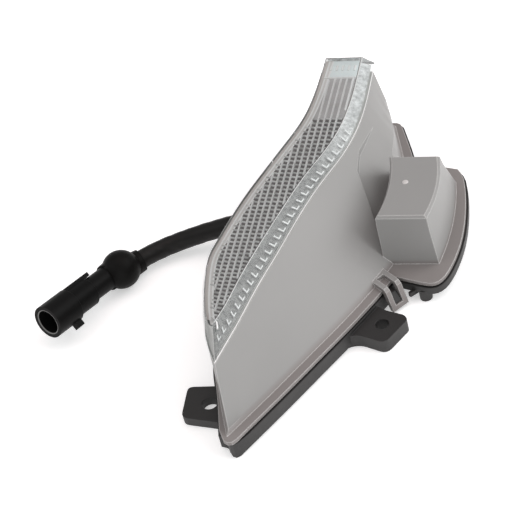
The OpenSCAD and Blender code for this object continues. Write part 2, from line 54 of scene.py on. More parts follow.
EYE = Vector((0.3420, -0.7600, 0.8280))  # metres
AZIMUTH, ELEVATION, ROLL = (math.radians(v) for v in (20.0, 42.0, 14.0))
FOCAL_PX, FRAME_PX, SENSOR = 2400.0, 510.0, 36.0
MIDDLE = (304.57, 262.25)  # pixel that the lens's axis meets
NEAR, FAR = 0.05, 20  # metres


def make_camera():
    ca, sa = math.cos(AZIMUTH), math.sin(AZIMUTH)
    ce, se = math.cos(ELEVATION), math.sin(ELEVATION)
    back = Vector((sa * ce, -ca * ce, se))
    right = Vector((ca, sa, 0))
    up = back.cross(right)
    across = right * math.cos(ROLL) - up * math.sin(ROLL)
    along = right * math.sin(ROLL) + up * math.cos(ROLL)
    half = FRAME_PX / 2
    aim = (across * (half - MIDDLE[0]) - along * (half - MIDDLE[1])) / FOCAL_PX - back
    z = -aim.normalized()
    y = (along - z * along.dot(z)).normalized()
    x = y.cross(z)
    cam = bpy.data.cameras.new("camera")
    cam.sensor_width = SENSOR
    cam.lens = FOCAL_PX / FRAME_PX * SENSOR
    cam.clip_start, cam.clip_end = NEAR, FAR
    obj = add_object("camera", cam)
    obj.matrix_world = Matrix.Translation(EYE) @ Matrix((x, y, z)).transposed().to_4x4()
    bpy.context.scene.camera = obj


make_camera()


# Procedural materials

MIX_A, MIX_B, MIX_RESULT = 6, 7, 2  # the Mix node's colour sockets
DARK_AT, LIGHT_AT = 0.3, 0.7  # noise levels of a cloudy colour's two ends
GLOSS_FINER = 4  # how much finer the gloss varies than the colour
GLOSS_LESS, GLOSS_MORE, GLOSS_LEAST = 0.08, 0.1, 0.02
EDGE_FLAT, EDGE_FULL = 0.995, 0.85  # bevelled normal against true normal, off and on an edge
# How much paler the edges' painted highlight is
EDGE_HIGHLIGHT_PALER = 2.2


def shader(name):
    """A new material with an empty tree: gives the material, the tree and its output."""
    mat = bpy.data.materials.new(name)
    mat.use_nodes = True
    tree = mat.node_tree
    tree.nodes.clear()
    return mat, tree, tree.nodes.new("ShaderNodeOutputMaterial")


def node(tree, kind, **values):
    """Adds a node; each value goes to the input of that name, or else to the setting."""
    n = tree.nodes.new(kind)
    for key, value in values.items():
        if key in n.inputs:
            n.inputs[key].default_value = value
        else:
            setattr(n, key, value)
    return n


def noise(tree, where, scale, detail=4.0, rough=0.55):
    n = node(tree, "ShaderNodeTexNoise", Scale=scale, Detail=detail, Roughness=rough)
    tree.links.new(where, n.inputs["Vector"])
    return n.outputs["Fac"]


def map_range(tree, value, start=0.0, end=1.0, low=0.0, high=1.0):
    """Carries start..end over to low..high."""
    n = node(tree, "ShaderNodeMapRange",
             **{"From Min": start, "From Max": end, "To Min": low, "To Max": high})
    tree.links.new(value, n.inputs["Value"])
    return n.outputs["Result"]


def mix_shader(tree, fac, a, b):
    n = tree.nodes.new("ShaderNodeMixShader")
    for source, target in zip((fac, a, b), n.inputs):
        tree.links.new(source, target)
    return n.outputs[0]


def mix_colour(tree, fac, a):
    """Mixes from colour a; gives the result and the socket of the other colour."""
    n = node(tree, "ShaderNodeMix", data_type="RGBA")
    tree.links.new(fac, n.inputs[0])
    tree.links.new(a, n.inputs[MIX_A])
    return n.outputs[MIX_RESULT], n.inputs[MIX_B]


def shade(colour, k):
    return tuple(min(1, c * k) for c in colour)


def cloudy(tree, fac, colour, spread):
    """The colour, darker and lighter by its spread with the noise."""
    n = tree.nodes.new("ShaderNodeValToRGB")
    for e, at, k in zip(n.color_ramp.elements, (DARK_AT, LIGHT_AT), (1 - spread, 1 + spread)):
        e.position = at
        e.color = (*shade(colour, k), 1)
    tree.links.new(fac, n.inputs["Fac"])
    return n.outputs["Color"]


def moulded(name, colour, rough=0.45, spread=0.08, grain=900.0, depth=0.00003, edge=0.0004,
            specular=0.5, cloud=35.0, metal=0.0, coat=0.0, edge_highlight=0.0, fade=None):
    """Plastic, rubber or metal: cloudy colour, uneven gloss, fine grain and softened edges.

    depth and edge are metres. The edge highlight argument pales the edges: a painted highlight.
    fade is (axis, from, to, colour): the colour turns into that other one along the axis.
    """
    mat, tree, out = shader(name)
    link = tree.links.new
    place = tree.nodes.new("ShaderNodeTexCoord").outputs["Object"]
    body = node(tree, "ShaderNodeBsdfPrincipled",
                **{"Metallic": metal, "Specular IOR Level": specular, "Coat Weight": coat})
    clouds = noise(tree, place, cloud)
    tint = cloudy(tree, clouds, colour, spread)
    if fade:
        axis, start, end, other = fade
        apart = tree.nodes.new("ShaderNodeSeparateXYZ")
        link(place, apart.inputs[0])
        reach = map_range(tree, apart.outputs[axis], start * MM, end * MM)
        tint, far = mix_colour(tree, reach, tint)
        link(cloudy(tree, clouds, other, spread), far)
    gloss = map_range(tree, noise(tree, place, cloud * GLOSS_FINER),
                      low=max(rough - GLOSS_LESS, GLOSS_LEAST), high=rough + GLOSS_MORE)
    link(gloss, body.inputs["Roughness"])
    bump = node(tree, "ShaderNodeBump", Strength=0.5, Distance=depth)
    link(noise(tree, place, grain, detail=3.0, rough=0.6), bump.inputs["Height"])
    if edge:
        bevel = node(tree, "ShaderNodeBevel", Radius=edge, samples=4)
        link(bevel.outputs["Normal"], bump.inputs["Normal"])
    # Edges paled where the bevelled normal leaves the true one: a painted highlight
    if edge and edge_highlight:
        true = tree.nodes.new("ShaderNodeNewGeometry").outputs["Normal"]
        dot = node(tree, "ShaderNodeVectorMath", operation="DOT_PRODUCT")
        link(bevel.outputs["Normal"], dot.inputs[0])
        link(true, dot.inputs[1])
        highlight_mask = map_range(tree, dot.outputs["Value"], EDGE_FLAT, EDGE_FULL, high=edge_highlight)
        tint, pale = mix_colour(tree, highlight_mask, tint)
        pale.default_value = (*shade(colour, EDGE_HIGHLIGHT_PALER), 1)
    link(tint, body.inputs["Base Color"])
    link(bump.outputs["Normal"], body.inputs["Normal"])
    link(body.outputs["BSDF"], out.inputs["Surface"])
    return mat


CLEAR_TINT, MILK_TINT = (0.96, 0.985, 0.985), (0.8, 0.84, 0.84)
CLEAR_GLOSS, CLEAR_IOR, CLEAR_WAVES = 0.06, 1.45, 120.0
FACE_HAZE, SKIRT_HAZE = 0.05, 0.14
FACE_NORMAL, SKIRT_NORMAL = 0.98, 0.85  # upward part of the normal on the face and on the sides


def clear_plastic(name):
    """Lets light through, mirrors softly, and turns milky on its steep sides."""
    mat, tree, out = shader(name)
    link = tree.links.new
    place = tree.nodes.new("ShaderNodeTexCoord").outputs["Object"]
    through = node(tree, "ShaderNodeBsdfTransparent", Color=(*CLEAR_TINT, 1))
    mirror = node(tree, "ShaderNodeBsdfGlossy", Roughness=CLEAR_GLOSS, Color=(1, 1, 1, 1))
    milk = node(tree, "ShaderNodeBsdfTranslucent", Color=(*MILK_TINT, 1))
    white = node(tree, "ShaderNodeBsdfDiffuse", Color=(*MILK_TINT, 1))
    fresnel = node(tree, "ShaderNodeFresnel", IOR=CLEAR_IOR)
    bump = node(tree, "ShaderNodeBump", Strength=0.15, Distance=0.0002)
    link(noise(tree, place, CLEAR_WAVES), bump.inputs["Height"])
    link(bump.outputs["Normal"], mirror.inputs["Normal"])
    link(bump.outputs["Normal"], fresnel.inputs["Normal"])
    bodies = node(tree, "ShaderNodeMixShader", Fac=0.5)
    link(milk.outputs[0], bodies.inputs[1])
    link(white.outputs[0], bodies.inputs[2])
    normal = tree.nodes.new("ShaderNodeSeparateXYZ")
    link(tree.nodes.new("ShaderNodeNewGeometry").outputs["Normal"], normal.inputs[0])
    hazy = map_range(tree, normal.outputs["Z"], FACE_NORMAL, SKIRT_NORMAL, FACE_HAZE, SKIRT_HAZE)
    inner = mix_shader(tree, hazy, through.outputs[0], bodies.outputs[0])
    link(mix_shader(tree, fresnel.outputs[0], inner, mirror.outputs[0]), out.inputs["Surface"])
    return mat


GREY = (0.296, 0.294, 0.289)
# Darker, pinker colour of the housing's flange: painted shade
FLANGE_PAINTED_SHADE = (0.245, 0.226, 0.22)
FLANGE_TOP = 12.0
PLATE_BLACK = (0.0085, 0.008, 0.0078)
SLEEVE_BLACK = (0.009, 0.0085, 0.008)
BOOT_BLACK = (0.006, 0.0058, 0.0055)
CONNECTOR_BLACK = (0.007, 0.007, 0.007)
STEEL, BOARD_GREEN = (0.5, 0.5, 0.48), (0.02, 0.1, 0.05)
DARK = (0.03, 0.03, 0.03)
# Where a material's edges are paled, that is a painted highlight on them
MATERIALS = {
    # Below the flange's top the housing turns darker and pinker: painted shade for the weaker
    # light on its flat faces
    "housing": moulded("body_grey", GREY, rough=0.38, spread=0.03, cloud=18, edge=0.0007,
                       edge_highlight=1.6, specular=0.35,
                       fade=("Z", FLANGE_TOP + 3, FLANGE_TOP + 0.6, FLANGE_PAINTED_SHADE)),
    "back_plate": moulded("plate_black", PLATE_BLACK, rough=0.5, spread=0.2, grain=1400,
                          depth=0.00006, specular=0.62, edge_highlight=0.6),
    "plate_gasket": moulded("gasket_black", (0.02, 0.02, 0.02), rough=0.7),
    "plate_screws": moulded("screw_steel", STEEL, rough=0.35, metal=1.0),
    "vent_cap": moulded("vent_black", DARK, rough=0.6),
    "lens_bead": moulded("bead_pale", (0.55, 0.55, 0.53), rough=0.5),
    "reflector": moulded("reflector_grey", (0.17, 0.155, 0.145), rough=0.35, spread=0.1),
    "heat_spreader": moulded("spreader_metal", (0.6, 0.6, 0.62), rough=0.35, metal=1.0),
    "led_board": moulded("board_green", BOARD_GREEN, rough=0.4, coat=0.3),
    "driver_board": moulded("board_green_2", BOARD_GREEN, rough=0.4, coat=0.3),
    "leds": moulded("diode_yellow", (0.7, 0.5, 0.12), rough=0.3, coat=0.5),
    "board_screws": moulded("screw_steel_2", STEEL, rough=0.35, metal=1.0),
    "driver_screws": moulded("screw_steel_3", STEEL, rough=0.35, metal=1.0),
    "driver_parts": moulded("part_dark", (0.03, 0.03, 0.035), rough=0.4),
    "inner_leads": moulded("wire_red", (0.3, 0.02, 0.02), rough=0.45),
    "cable_gland": moulded("gland_black", (0.008, 0.008, 0.008), rough=0.6, specular=0.15),
    "cable_sleeve": moulded("sleeve_black", SLEEVE_BLACK, rough=0.42, grain=500, depth=0.0002,
                            specular=0.2),
    "cable_boot": moulded("boot_black", BOOT_BLACK, rough=0.45, grain=400, depth=0.0003,
                          specular=0.08),
    "connector_barrel": moulded("barrel_black", CONNECTOR_BLACK, rough=0.4, edge_highlight=0.3,
                                specular=0.08),
    "connector_shell": moulded("shell_black", CONNECTOR_BLACK, rough=0.36, edge_highlight=2.0,
                               specular=0.06),
    "pin_holder": moulded("holder_grey", DARK, rough=0.5),
    "connector_pins": moulded("pin_metal", (0.7, 0.5, 0.2), rough=0.25, metal=1.0),
    "connector_seal": moulded("seal_orange", (0.06, 0.02, 0.01), rough=0.5),
    "lens_cover": clear_plastic("lens_clear"),
}
for name, mat in MATERIALS.items():
    for s in NODES[name].material_slots:
        s.material = mat


# Smooth shading that keeps sharp edges, as a modifier

SHARP = math.radians(22)
TWINS = 0.000002  # metres between points that are one


def soft_shading():
    tree = bpy.data.node_groups.new("soft_shading", "GeometryNodeTree")
    for way in ("INPUT", "OUTPUT"):
        tree.interface.new_socket("Geometry", in_out=way, socket_type="NodeSocketGeometry")
    chain = [node(tree, "NodeGroupInput"),
             node(tree, "GeometryNodeRemoveAttribute", Name="custom_normal"),
             node(tree, "GeometryNodeMergeByDistance", Distance=TWINS),
             node(tree, "GeometryNodeSetShadeSmooth"),
             node(tree, "GeometryNodeSetShadeSmooth", domain="EDGE", **{"Shade Smooth": False}),
             node(tree, "NodeGroupOutput")]
    for a, b in zip(chain, chain[1:]):
        tree.links.new(a.outputs[0], b.inputs[0])
    angle = tree.nodes.new("GeometryNodeInputMeshEdgeAngle")
    sharp = node(tree, "FunctionNodeCompare", operation="GREATER_THAN")
    sharp.inputs[1].default_value = SHARP
    tree.links.new(angle.outputs[0], sharp.inputs[0])
    tree.links.new(sharp.outputs[0], chain[4].inputs["Selection"])
    return tree


SOFT = soft_shading()
for name in ("housing", "back_plate", "reflector", "lens_bead", "cable_boot"):
    NODES[name].modifiers.new("soft", "NODES").node_group = SOFT


# Small geometry helpers

def add_mesh(name, verts, faces, mat, smooth=False):
    """A piece of the fixed body, with the given material."""
    mesh = bpy.data.meshes.new(name)
    mesh.from_pydata([tuple(v) for v in verts], [], faces)
    mesh.update()
    obj = add_object(name, mesh)
    mesh.materials.append(mat)
    if smooth:
        mesh.shade_smooth()
    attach(obj, "root")
    return obj


def at(x, y, z):
    """A vertex in metres from millimetres."""
    return Vector((x, y, z)) * MM


def quads(rows, n, joined=False):
    """Faces between rows of n points that each close on themselves; joined closes the rows too."""
    faces = []
    for i in range(rows if joined else rows - 1):
        a, b = i * n, (i + 1) % rows * n
        faces += [(a + j, a + (j + 1) % n, b + (j + 1) % n, b + j) for j in range(n)]
    return faces


def circle(n):
    """Cosine and sine of each of n even steps round."""
    return [(math.cos(2 * math.pi * k / n), math.sin(2 * math.pi * k / n)) for k in range(n)]


def between(a, b, c, d, t):
    """Point of a smooth curve from b to c, with neighbours a and d."""
    return 0.5 * ((2 * b) + (c - a) * t + (2 * a - 5 * b + 4 * c - d) * t * t
                  + (3 * b - a - 3 * c + d) * t * t * t)


def curve(points, n):
    """Smooth curve through the points, in n steps from each to the next."""
    p = [Vector(q) for q in points]
    e = len(p) - 1
    out = []
    for i in range(e):
        for j in range(n):
            out.append(between(p[max(i - 1, 0)], p[i], p[i + 1], p[min(i + 2, e)], j / n))
    return out + [p[e]]


def steps(start, end, step):
    """start and every step after it, below end."""
    while start < end:
        yield start
        start += step


# The lead: its sleeve, along the frame's own route, and the painted highlight round the
# connector's mouth

SLEEVE_ROUTE = [(8, 117, 17), (2, 117, 17), (-4, 117, 16.4), (-10, 116.9, 15.2),
                (-16, 116.6, 13.6), (-22, 116.1, 11.9), (-28, 115.4, 10.3), (-34, 114.1, 8.9),
                (-40, 112.1, 7.9), (-45.5, 109.5, 7.3), (-50.5, 106.3, 7.1), (-54.9, 102.6, 7.2),
                (-58.5, 99, 7.2)]
SLEEVE_D = 10.0
SLEEVE_STEPS, SLEEVE_SIDES = 10, 40
WRAP_PITCH, WRAP_STEP = 0.011, 0.0001  # metres: the tape's turns and its overlap
RIPPLE, RIPPLE_SIDES, RIPPLE_RUN = 0.00005, 5, 900
MOUTH = Vector((-92.1, 42.5, 17.9))
MOUTH_WAY = Vector((-0.43171, -0.88514, 0.17365))
BEAD_R, BEAD_T = 6.85, 0.36  # radius of the painted highlight's ring and of its section
BEAD_ROWS, BEAD_SIDES = 48, 8
# Pale colour of the ring at the connector's mouth: a painted highlight
MOUTH_HIGHLIGHT = moulded("mouth_highlight", (0.2, 0.2, 0.195), rough=0.35, spread=0.1, edge=0, specular=0.4)
CARRIED = ("cable_boot", "connector_barrel", "connector_shell", "pin_holder", "connector_pins",
           "connector_seal")


def make_mouth_highlight():
    """Pale ring round the inside of the connector's mouth: a painted highlight."""
    side = MOUTH_WAY.cross(UP).normalized()
    up = side.cross(MOUTH_WAY).normalized()
    verts = []
    for c, s in circle(BEAD_ROWS):
        out = side * c + up * s
        for across, ahead in circle(BEAD_SIDES):
            p = MOUTH - MOUTH_WAY * (BEAD_T - BEAD_T * ahead) + out * (BEAD_R + BEAD_T * across)
            verts.append(p * MM)
    return add_mesh("mouth_highlight", verts, quads(BEAD_ROWS, BEAD_SIDES, joined=True), MOUTH_HIGHLIGHT,
                    smooth=True)


def make_sleeve():
    """Sleeve wound with overlapping tape, in place of the frame's."""
    path = [p * MM for p in curve(SLEEVE_ROUTE, SLEEVE_STEPS)]
    last = len(path) - 1
    verts = []
    run = 0.0
    for i, p in enumerate(path):
        if i:
            run += (p - path[i - 1]).length
        way = (path[min(i + 1, last)] - path[max(i - 1, 0)]).normalized()
        side = way.cross(UP).normalized()
        up = side.cross(way)
        for k, (c, s) in enumerate(circle(SLEEVE_SIDES)):
            turn = k / SLEEVE_SIDES
            wrap = WRAP_STEP * ((run / WRAP_PITCH + turn) % 1.0)
            wave = math.sin(RIPPLE_SIDES * 2 * math.pi * turn + run * RIPPLE_RUN)
            r = SLEEVE_D / 2 * MM - wrap - RIPPLE * (1 + wave)
            verts.append(p + side * (r * c) + up * (r * s))
    faces = [(a, d, c, b) for a, b, c, d in quads(len(path), SLEEVE_SIDES)]
    faces.append(tuple(range(SLEEVE_SIDES)))
    faces.append(tuple(range(len(verts) - 1, len(verts) - SLEEVE_SIDES - 1, -1)))
    obj = add_mesh("lead_sleeve", verts, faces, MATERIALS["cable_sleeve"],
                   smooth=True)
    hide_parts("cable_sleeve")
    length = sum((b - a).length for a, b in zip(path, path[1:]))
    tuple(path[0])
    [NODES[n] for n in CARRIED] + [make_mouth_highlight()]


make_sleeve()


# Lens: a clear shell over a sheet of optics, with ribs, cross ribs, rims and skirt prisms.
# Each outline runs from the nose up the side that shows, then back down the far side.

LENS_FACE = [(12.5, 0), (16.5, 14), (20.5, 36), (25.8, 59), (32, 83), (38, 104), (48.5, 134),
             (52.5, 162), (52.5, 199), (32, 199), (31, 169.5), (27.8, 147.5), (19.2, 121),
             (9.5, 91.5), (2.8, 63.5), (0.2, 46), (3.6, 22), (8.5, 4)]
LENS_LOW = [(16.5, -18.5), (22, 6), (27, 32), (33, 57.5), (38.7, 83), (44.5, 104), (54, 132),
            (58, 160), (57.5, 200), (30.5, 200), (29.5, 170), (26, 148), (17.5, 122), (8, 92),
            (1.2, 64), (-1.5, 45), (2.2, 20), (9, -3)]
SIDE_N, CURVE_STEPS = 9, 6  # points of the side that shows, and steps from each to the next
FACE_Z, JOINT_Z, SHEET_Z = 58.0, 52.0, 55.9  # the face, the joint with the housing, the optics
RIM_Z, LINE_Z = SHEET_Z + 0.08, FACE_Z - 0.06
SHELL_FOOT, SHELL_ROUND = 1.0, 0.5  # the shell's upright foot and its rounded top edge
WALL_IN, WALL_FOOT = 1.7, 0.8  # the inner wall's foot: from the shell's outline, and its height
INSIDE = 1.8  # from the face's outline in to the optics
CORNER_LIMIT = 0.4  # keeps a sharp corner from moving too far
SHEET_FROM, HATCH_FROM, HATCH_TO, LINE_TO, END_TO = 4.5, 7.0, 152.0, 184.0, 198.6
RIM_FROM, SHOWN_LINE_FROM, SHOWN_RIM_FROM = 6.5, 5, 3


def outline(points):
    """The side that shows and the back side, each from the nose to the far end."""
    shown = [Vector(p).to_3d() for p in points[:SIDE_N]]
    back = [Vector(p).to_3d() for p in points[SIDE_N:] + points[:1]]
    return curve(shown, CURVE_STEPS), curve(back, CURVE_STEPS)[::-1]


def ring(shown, back):
    return shown + back[:0:-1]


FACE_SHOWN, FACE_BACK = outline(LENS_FACE)
LOW_SHOWN, LOW_BACK = outline(LENS_LOW)
FACE, LOW = ring(FACE_SHOWN, FACE_BACK), ring(LOW_SHOWN, LOW_BACK)


def inset(points, d):
    """Moves a closed outline inward; it runs against the clock when seen from above."""
    n = len(points)
    out = []
    for i, p in enumerate(points):
        a = (p - points[i - 1]).normalized()
        b = (points[(i + 1) % n] - p).normalized()
        m = Vector((-a.y - b.y, a.x + b.x, 0))
        m.normalize()
        out.append(p + m * d / max(m.dot(Vector((-a.y, a.x, 0))), CORNER_LIMIT))
    return out


def lofted(name, rings, heights, mat, top=False):
    """Wall through closed outlines at their heights, with or without a top."""
    n = len(rings[0])
    verts = [at(p.x, p.y, z) for r, z in zip(rings, heights) for p in r]
    faces = quads(len(rings), n)
    if top:
        faces.append(tuple(range(len(verts) - n, len(verts))))
    obj = add_mesh(name, verts, faces, mat)
    obj.modifiers.new("soft", "NODES").node_group = SOFT
    return obj


def x_at(line, y):
    """Where a side's line crosses y."""
    for a, b in zip(line, line[1:]):
        if min(a.y, b.y) <= y <= max(a.y, b.y) and abs(b.y - a.y) > 1e-9:
            return a.x + (b.x - a.x) * (y - a.y) / (b.y - a.y)
    return None


def from_back(by):
    """The line that lies by inside the face's back side, as a function of y."""
    return lambda y: x_at(FACE_BACK, y) + by


def from_shown(by):
    """The line that lies by inside the face's side that shows, as a function of y."""
    return lambda y: x_at(FACE_SHOWN, y) - by


def span(y):
    """Both sides of the optics at y."""
    return from_back(INSIDE)(y), from_shown(INSIDE)(y)


def band(name, y0, y1, left, right, z, mat):
    """A sheet from y0 to y1 between two functions of y, a millimetre at a time."""
    n = max(int(y1 - y0), 1)
    verts = []
    for i in range(n + 1):
        y = y0 + (y1 - y0) * i / n
        verts += [at(left(y), y, z), at(right(y), y, z)]
    faces = [(2 * i, 2 * i + 1, 2 * i + 3, 2 * i + 2) for i in range(n)]
    add_mesh("lens_" + name, verts, faces, mat)


class Bars:
    """Bars with a narrower crest than foot, gathered into one piece."""

    CREST = 0.45

    def __init__(self):
        self.verts, self.faces = [], []

    def add(self, a, b, width, low, top):
        """A bar from point a to point b."""
        a, b = Vector((*a, 0)), Vector((*b, 0))
        d = (b - a).normalized()
        s = Vector((-d.y, d.x, 0)) * width / 2
        base = len(self.verts)
        for p in (a, b):
            for k, z in ((1, low), (-1, low), (-self.CREST, top), (self.CREST, top)):
                q = p + s * k
                self.verts.append(at(q.x, q.y, z))
        for q in ((1, 2, 6, 5), (2, 3, 7, 6), (3, 0, 4, 7), (3, 2, 1, 0), (4, 5, 6, 7)):
            self.faces.append(tuple(base + i for i in q))

    def done(self, name, mat):
        add_mesh("lens_" + name, self.verts, self.faces, mat)


def optic(name, colour, rough=0.3, spread=0.06, **more):
    return moulded("optic_" + name, colour, rough, spread, edge=0, specular=0.6, **more)


HATCH = optic("hatch", (0.095, 0.088, 0.084), spread=0.4, cloud=260)
FLUTED = optic("fluted", (0.5, 0.485, 0.485), spread=0.12, cloud=120)
CLEAR_END = optic("end", (0.9, 0.975, 0.985), rough=0.2, spread=0.04)
RIB = optic("rib", (0.99, 0.985, 0.98), rough=0.2, cloud=300)
CROSS = optic("cross", (0.86, 0.84, 0.83), rough=0.2, spread=0.5, cloud=330)
WHITE = optic("white", (0.97, 0.97, 0.965), rough=0.2, spread=0.03)
PALE = optic("pale", (0.74, 0.715, 0.7), spread=0.08)
LINE = optic("line", (0.16, 0.15, 0.145), rough=0.4, spread=0.2)
# Pale line along the lens's joint with the housing: a painted highlight
FOOT_HIGHLIGHT = optic("foot", (0.8, 0.79, 0.78), spread=0.05)
LEDGE = optic("ledge", (0.66, 0.61, 0.585))
EDGE = optic("edge", (0.38, 0.37, 0.365))
WALL = optic("wall", (0.26, 0.26, 0.256), rough=0.35, spread=0.5, cloud=420,
             fade=("Y", 105, 150, (0.8, 0.81, 0.81)))

SHEETS = (
    # name, from y, to y, one side, the other side, height, material
    ("hatch_sheet", SHEET_FROM, HATCH_TO, from_back(INSIDE), from_shown(INSIDE), SHEET_Z, HATCH),
    ("fluted_sheet", HATCH_TO, LINE_TO, from_back(INSIDE), from_shown(INSIDE), SHEET_Z, FLUTED),
    ("clear_sheet", LINE_TO, END_TO, from_back(INSIDE), from_shown(INSIDE), SHEET_Z, CLEAR_END),
    ("back_outer_rim", RIM_FROM, END_TO, from_back(INSIDE), from_back(2.7), RIM_Z, WHITE),
    ("back_border", RIM_FROM, END_TO, from_back(2.7), from_back(3.7), RIM_Z, PALE),
    ("back_inner_rim", RIM_FROM, END_TO, from_back(3.7), from_back(4.6), RIM_Z, WHITE),
    ("shown_line", SHOWN_LINE_FROM, END_TO, from_shown(1.3), from_shown(0.95), LINE_Z, LINE),
    # White line along the top edge of the side that shows: a painted highlight
    ("shown_edge_highlight", SHOWN_RIM_FROM, END_TO, from_shown(0.95), from_shown(0.4), LINE_Z, WHITE),
    ("back_ledge", RIM_FROM, END_TO, from_back(0.1), from_back(INSIDE), RIM_Z, LEDGE),
    ("back_line", RIM_FROM, END_TO, from_back(0.35), from_back(0.7), LINE_Z, EDGE),
)


def make_shell():
    """One clear layer with a pale foot, a painted highlight along the joint, in place of the
    frame's lens, and a wall inside it.
    """
    shell = lofted("lens_shell", [LOW, LOW, FACE, inset(FACE, SHELL_ROUND)],
                   [JOINT_Z, JOINT_Z + SHELL_FOOT, FACE_Z - SHELL_ROUND, FACE_Z],
                   MATERIALS["lens_cover"], top=True)
    shell.data.materials.append(FOOT_HIGHLIGHT)
    for face in shell.data.polygons[:len(LOW)]:
        face.material_index = 1
    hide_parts("lens_cover")
    foot = inset(LOW, WALL_IN)
    lofted("lens_inner_wall", [foot, foot, inset(FACE, INSIDE)],
           [JOINT_Z, JOINT_Z + WALL_FOOT, SHEET_Z], WALL)


PITCH = 3.2  # of the long ribs, and of the dots between them
FIRST_X, LAST_X = -2.0, 56
FREE_BACK, FREE_SHOWN = 3.0, 1.2  # left free by the long ribs beside the rims
FREE_LESS = 1  # by how much less the cross ribs leave free
SCAN, SHORTEST = 0.5, 2  # the long ribs' ends are found to this, and short ones left out
RIB_W, RIB_H = 1.15, 0.7
CROSS_W, CROSS_H, CROSS_TILT = 1.05, 0.5, 0.3
CROSS_REACH = PITCH * 0.4
ROW_PITCH, ROW_WIDER = 2.5, 0.8  # at the nose, and by how much wider at the far end
BAR_Y, BAR_W, BAR_H = LINE_TO + 0.5, 1.2, 0.6  # the bar across, before the clear end
END_FROM, END_UNTIL, END_W, END_H = 190.5, 194.5, 1.4, 0.5  # the short ribs on the clear end
END_IN_BACK, END_IN_SHOWN = 2.4, 1.5


def stretches(x):
    """Stretches of y over which a long rib at x stays clear of the rims."""
    start = None
    for y in steps(HATCH_FROM, LINE_TO + SCAN / 2, SCAN):
        low, high = span(y)
        inside = low + FREE_BACK < x < high - FREE_SHOWN
        if inside and start is None:
            start = y
        if start is not None and (not inside or y + SCAN > LINE_TO):
            if y - start > SHORTEST:
                yield start, y
            start = None


def make_ribs():
    """Long ribs, rows of short tilted ribs between them, and the ribs at the clear end."""
    ribs = Bars()
    for x in steps(FIRST_X, LAST_X, PITCH):
        for start, end in stretches(x):
            ribs.add((x, start), (x, end), RIB_W, SHEET_Z, SHEET_Z + RIB_H)
    ribs.done("long_ribs", RIB)
    cross = Bars()
    y = HATCH_FROM
    while y < HATCH_TO:
        low, high = span(y)
        for x in steps(FIRST_X + PITCH / 2, LAST_X, PITCH):
            if low + FREE_BACK - FREE_LESS < x < high - FREE_SHOWN + FREE_LESS:
                cross.add((x - CROSS_REACH, y + CROSS_TILT), (x + CROSS_REACH, y - CROSS_TILT),
                          CROSS_W, SHEET_Z, SHEET_Z + CROSS_H)
        y += ROW_PITCH + ROW_WIDER * y / HATCH_TO
    cross.done("cross_ribs", CROSS)
    ends = Bars()
    low, high = span(LINE_TO)
    ends.add((low, BAR_Y), (high, BAR_Y), BAR_W, SHEET_Z, SHEET_Z + BAR_H)
    for x in steps(low + END_IN_BACK, high - END_IN_SHOWN, PITCH):
        ends.add((x, END_FROM), (x, END_UNTIL), END_W, SHEET_Z, SHEET_Z + END_H)
    ends.done("end_ribs", WHITE)


PRISM_FIRST, PRISM_PITCH, PRISMS_TO = 5.0, 5.4, 150.0
PRISM_IN, PRISM_T = 0.35, 0.5  # depth behind the skirt, and thickness
PRISM_ARMS = ((-1.9, -1.2, 3.0), (-1.2, 1.4, 0.9))  # from and to up the skirt, reach along it
BOX_FACES = ((0, 2, 4, 6), (7, 5, 3, 1), (0, 1, 3, 2), (2, 3, 5, 4), (4, 5, 7, 6), (6, 7, 1, 0))


def on_skirt(i, t):
    """Point of the skirt at step i, from its foot to its top edge as t goes from 0 to 1."""
    a, b = LOW_SHOWN[i], FACE_SHOWN[i]
    low, high = JOINT_Z + SHELL_FOOT, FACE_Z - SHELL_ROUND
    return Vector((a.x + (b.x - a.x) * t, a.y + (b.y - a.y) * t, low + (high - low) * t))


def make_skirt():
    """Small lying-L prisms behind the skirt, one every few millimetres."""
    verts, faces = [], []
    run, last, due = 0.0, on_skirt(0, 0.5), PRISM_FIRST
    for i in range(1, len(LOW_SHOWN) - 1):
        p = on_skirt(i, 0.5)
        step = (p - last).length
        up = (on_skirt(i, 1) - on_skirt(i, 0)).normalized()
        along = (on_skirt(i + 1, 0.5) - on_skirt(i - 1, 0.5)).normalized()
        out = along.cross(up).normalized()
        while run + step > due and p.y < PRISMS_TO:
            o = last + (p - last) * ((due - run) / step) - out * PRISM_IN
            for low, high, reach in PRISM_ARMS:
                base = len(verts)
                for u, s in ((low, 0), (low, reach), (high, reach), (high, 0)):
                    q = o + up * u + along * s
                    verts += [q * MM, (q - out * PRISM_T) * MM]
                faces += [tuple(base + k for k in q) for q in BOX_FACES]
            due += PRISM_PITCH
        run += step
        last = p
    add_mesh("lens_skirt_prisms", verts, faces, WHITE)


NOSE_TO = 12.0  # the pale wall reaches from the nose to this y
NOSE_IN, NOSE_GAP = 0.8, 0.9  # behind the shell, and short of its foot and of its top
NOSE_SHEET_FROM, NOSE_SHEET_TO, NOSE_SHEET_Z = 3.4, 6.6, SHEET_Z + 0.05
NOSE_STEP = ((10.6, 7.5), (13.6, 4.2), (14.6, 1.6), (15.2, -0.8))
STEP_W, STEP_LOW, STEP_TOP = 0.9, FACE_Z - 0.8, FACE_Z - 0.3
FAR_LEFT, FAR_RIGHT, FAR_Y = 32.2, 52.3, 198.75
FAR_W, FAR_LOW, FAR_TOP = 0.5, FACE_Z - 0.4, FACE_Z - 0.05


